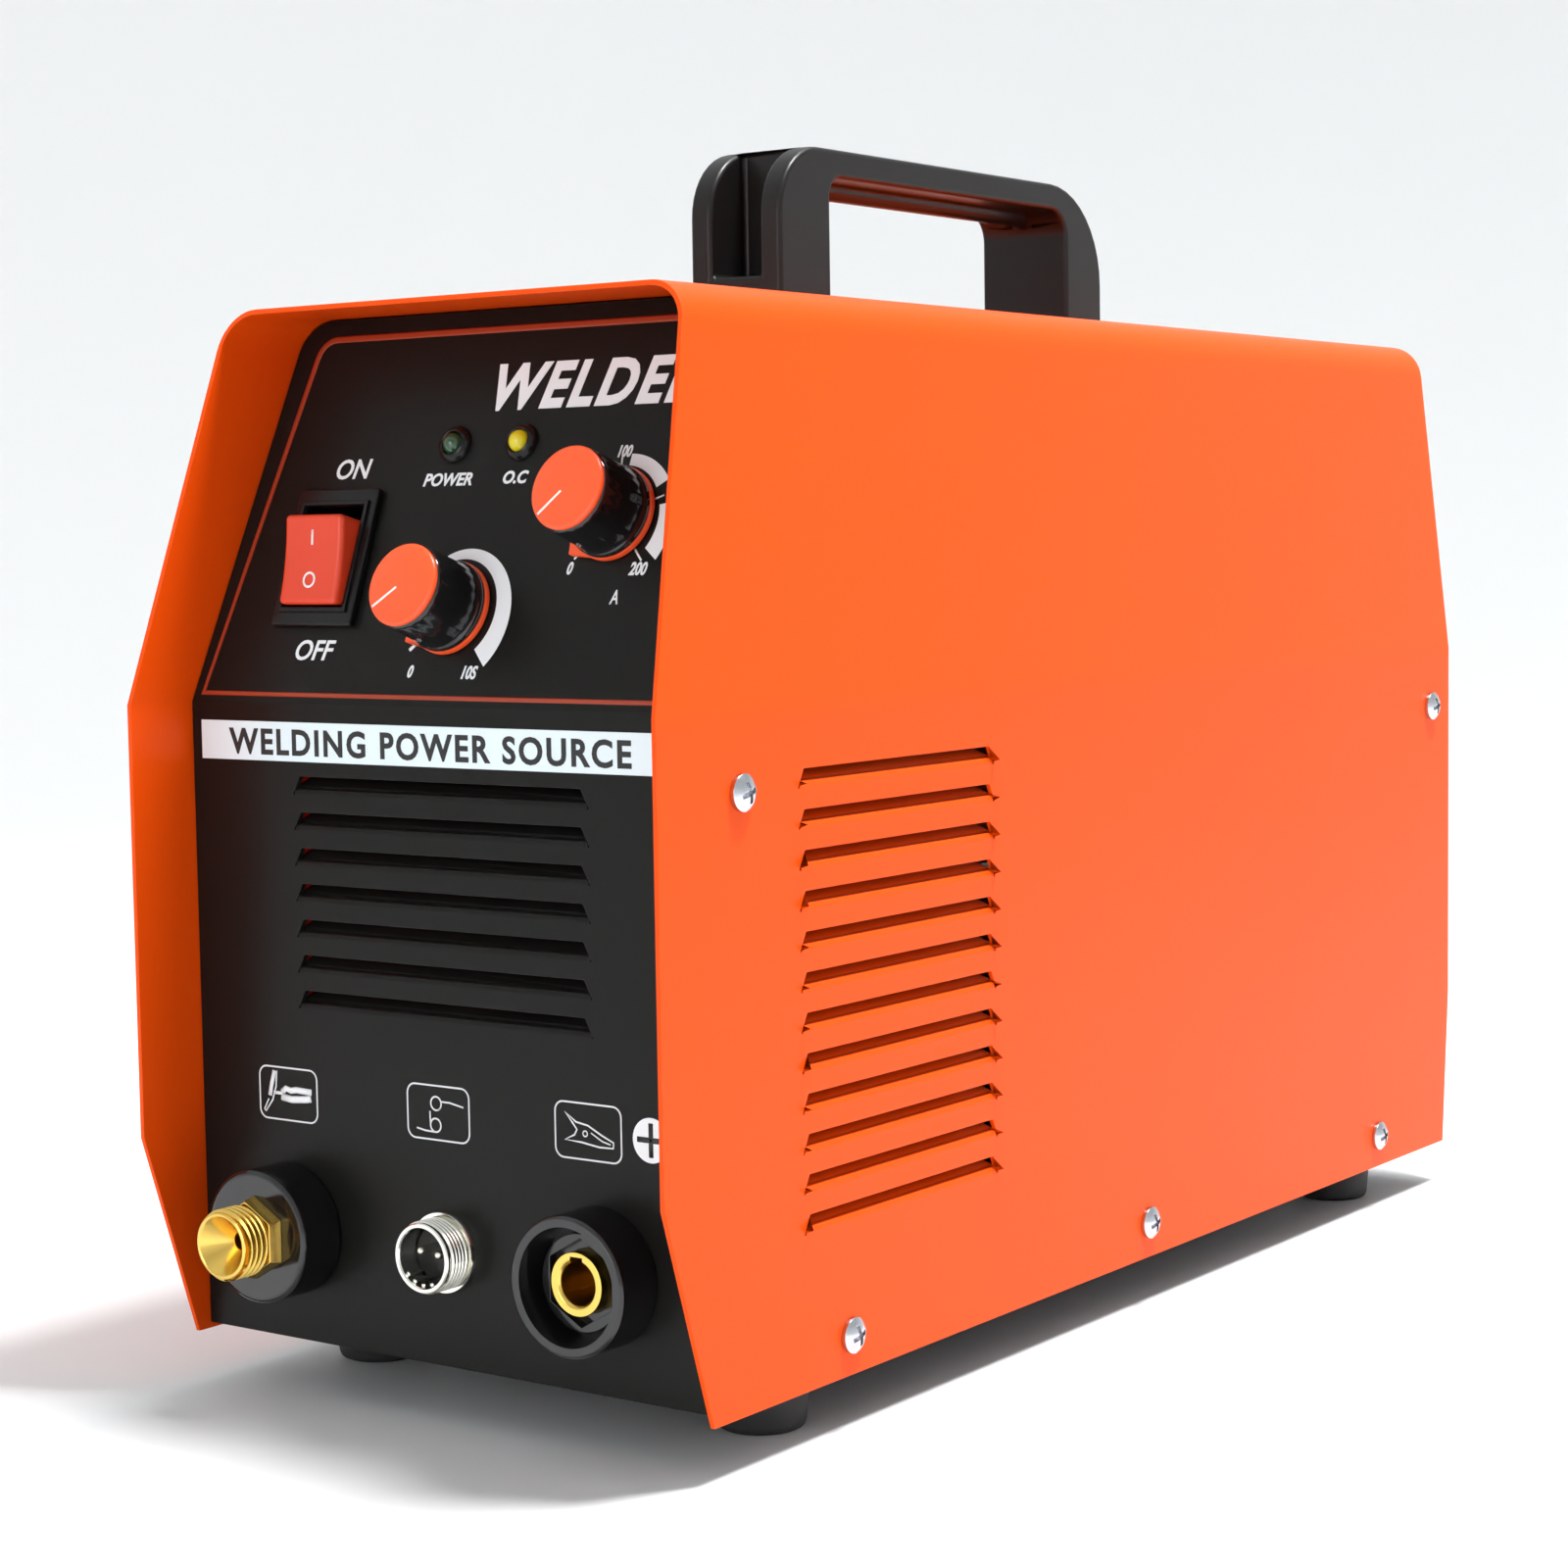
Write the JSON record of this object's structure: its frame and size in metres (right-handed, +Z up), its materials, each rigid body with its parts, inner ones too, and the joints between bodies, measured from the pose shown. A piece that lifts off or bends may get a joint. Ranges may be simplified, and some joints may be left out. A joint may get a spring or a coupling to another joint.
{
  "type": "tig welding machine",
  "caption": "Portable inverter TIG welding machine: orange folded cover, recessed black control face, louvres, D handle, gas nozzle, control and power sockets.",
  "frame": {"origin": "middle of the machine's plan outline, on the floor that the feet stand on", "axes": "+Z up, +Y from the control face to the back, +X to the right when facing the controls"},
  "size_m": [0.1552, 0.4052, 0.2868],
  "materials": {
    "orange_cover": "satin powder coat",
    "black_sheet": "satin powder coat",
    "zinc_sheet": "galvanised",
    "black_handle": "satin moulded",
    "zinc_screws": "zinc plated",
    "rubber_feet": "matt moulded",
    "black_plastic": "satin moulded",
    "black_gloss": "gloss moulded",
    "red_rocker": "satin moulded",
    "orange_cap": "satin moulded",
    "green_lens": "clear tinted",
    "yellow_lens": "diffused",
    "brass": "turned",
    "nickel": "bright plated",
    "bright_steel": "turned",
    "circuit_board": "solder mask",
    "aluminium": "extruded",
    "chip_black": "moulded",
    "capacitor_sleeve": "shrink sleeve",
    "ferrite": "sintered",
    "copper_wire": "enamelled",
    "hose_rubber": "matt",
    "coil_tape": "taped"
  },
  "bodies": {
    "case": {"cover": "orange_cover", "base_tray": "black_sheet", "front_panel": "black_sheet", "rear_panel": "black_sheet", "shelf": "zinc_sheet", "handle": "black_handle", "handle_screws": "zinc_screws", "cover_screws": "zinc_screws", "feet": "rubber_feet", "foot_screws": "zinc_screws", "switch_housing": "black_plastic", "current_pot": "chip_black", "slope_pot": "chip_black", "pot_nuts": "bright_steel", "led_holders": "black_plastic", "power_led": "green_lens", "overload_led": "yellow_lens", "outlet_housing": "black_gloss", "gas_nozzle": "brass", "control_socket_shell": "nickel", "control_socket_insert": "black_plastic", "control_socket_pins": "nickel", "control_socket_nut": "nickel", "power_socket_housing": "black_gloss", "power_socket_insert": "brass", "outlet_nuts": "bright_steel", "fan_frame": "black_plastic", "fan_guard": "nickel", "fan_screws": "zinc_screws", "cable_gland": "black_plastic", "gland_nut": "black_plastic", "gas_inlet": "brass", "earth_stud": "bright_steel", "earth_nuts": "zinc_screws", "main_board": "circuit_board", "board_standoffs": "brass", "heat_sinks": "aluminium", "power_transistors": "chip_black", "capacitors": "capacitor_sleeve", "transformer_core": "ferrite", "transformer_winding": "copper_wire", "reactor": "copper_wire", "control_board": "circuit_board", "arc_starter_coil": "coil_tape", "valve_body": "brass", "valve_coil": "coil_tape", "valve_spring": "bright_steel", "gas_hoses": "hose_rubber", "positive_busbar": "copper_wire"},
    "rocker": {"switch_rocker": "red_rocker"},
    "current_dial": {"current_shaft": "bright_steel", "current_knob": "black_gloss", "current_knob_cap": "orange_cap", "current_pointer_ring": "orange_cap"},
    "slope_dial": {"slope_shaft": "bright_steel", "slope_knob": "black_gloss", "slope_knob_cap": "orange_cap", "slope_pointer_ring": "orange_cap"},
    "fan": {"fan_rotor": "black_plastic"},
    "plunger": {"valve_plunger": "bright_steel"}
  },
  "joints": [
    {"name": "rocker_tilt", "type": "hinge", "parent": "case", "child": "rocker", "pos_m": [-0.04, -0.1646, 0.1879], "axis": [-1, 0, 0], "range_deg": [0, 22]},
    {"name": "current_turn", "type": "hinge", "parent": "case", "child": "current_dial", "pos_m": [0.0398, -0.16547, 0.19788], "axis": [0, 0.9409, -0.3387], "range_deg": [0, 270]},
    {"name": "slope_turn", "type": "hinge", "parent": "case", "child": "slope_dial", "pos_m": [0, -0.17255, 0.17822], "axis": [0, 0.9409, -0.3387], "range_deg": [0, 270]},
    {"name": "fan_spin", "type": "hinge", "parent": "case", "child": "fan", "pos_m": [0, 0.1601, 0.096], "axis": [0, 1, 0], "continuous": true},
    {"name": "valve_stroke", "type": "slide", "parent": "case", "child": "plunger", "axis": [0, 0, 1], "range_m": [0, 0.0025], "stiffness_N_per_m": 400, "springref_m": -0.005, "deforming": ["valve_spring"]}
  ]
}
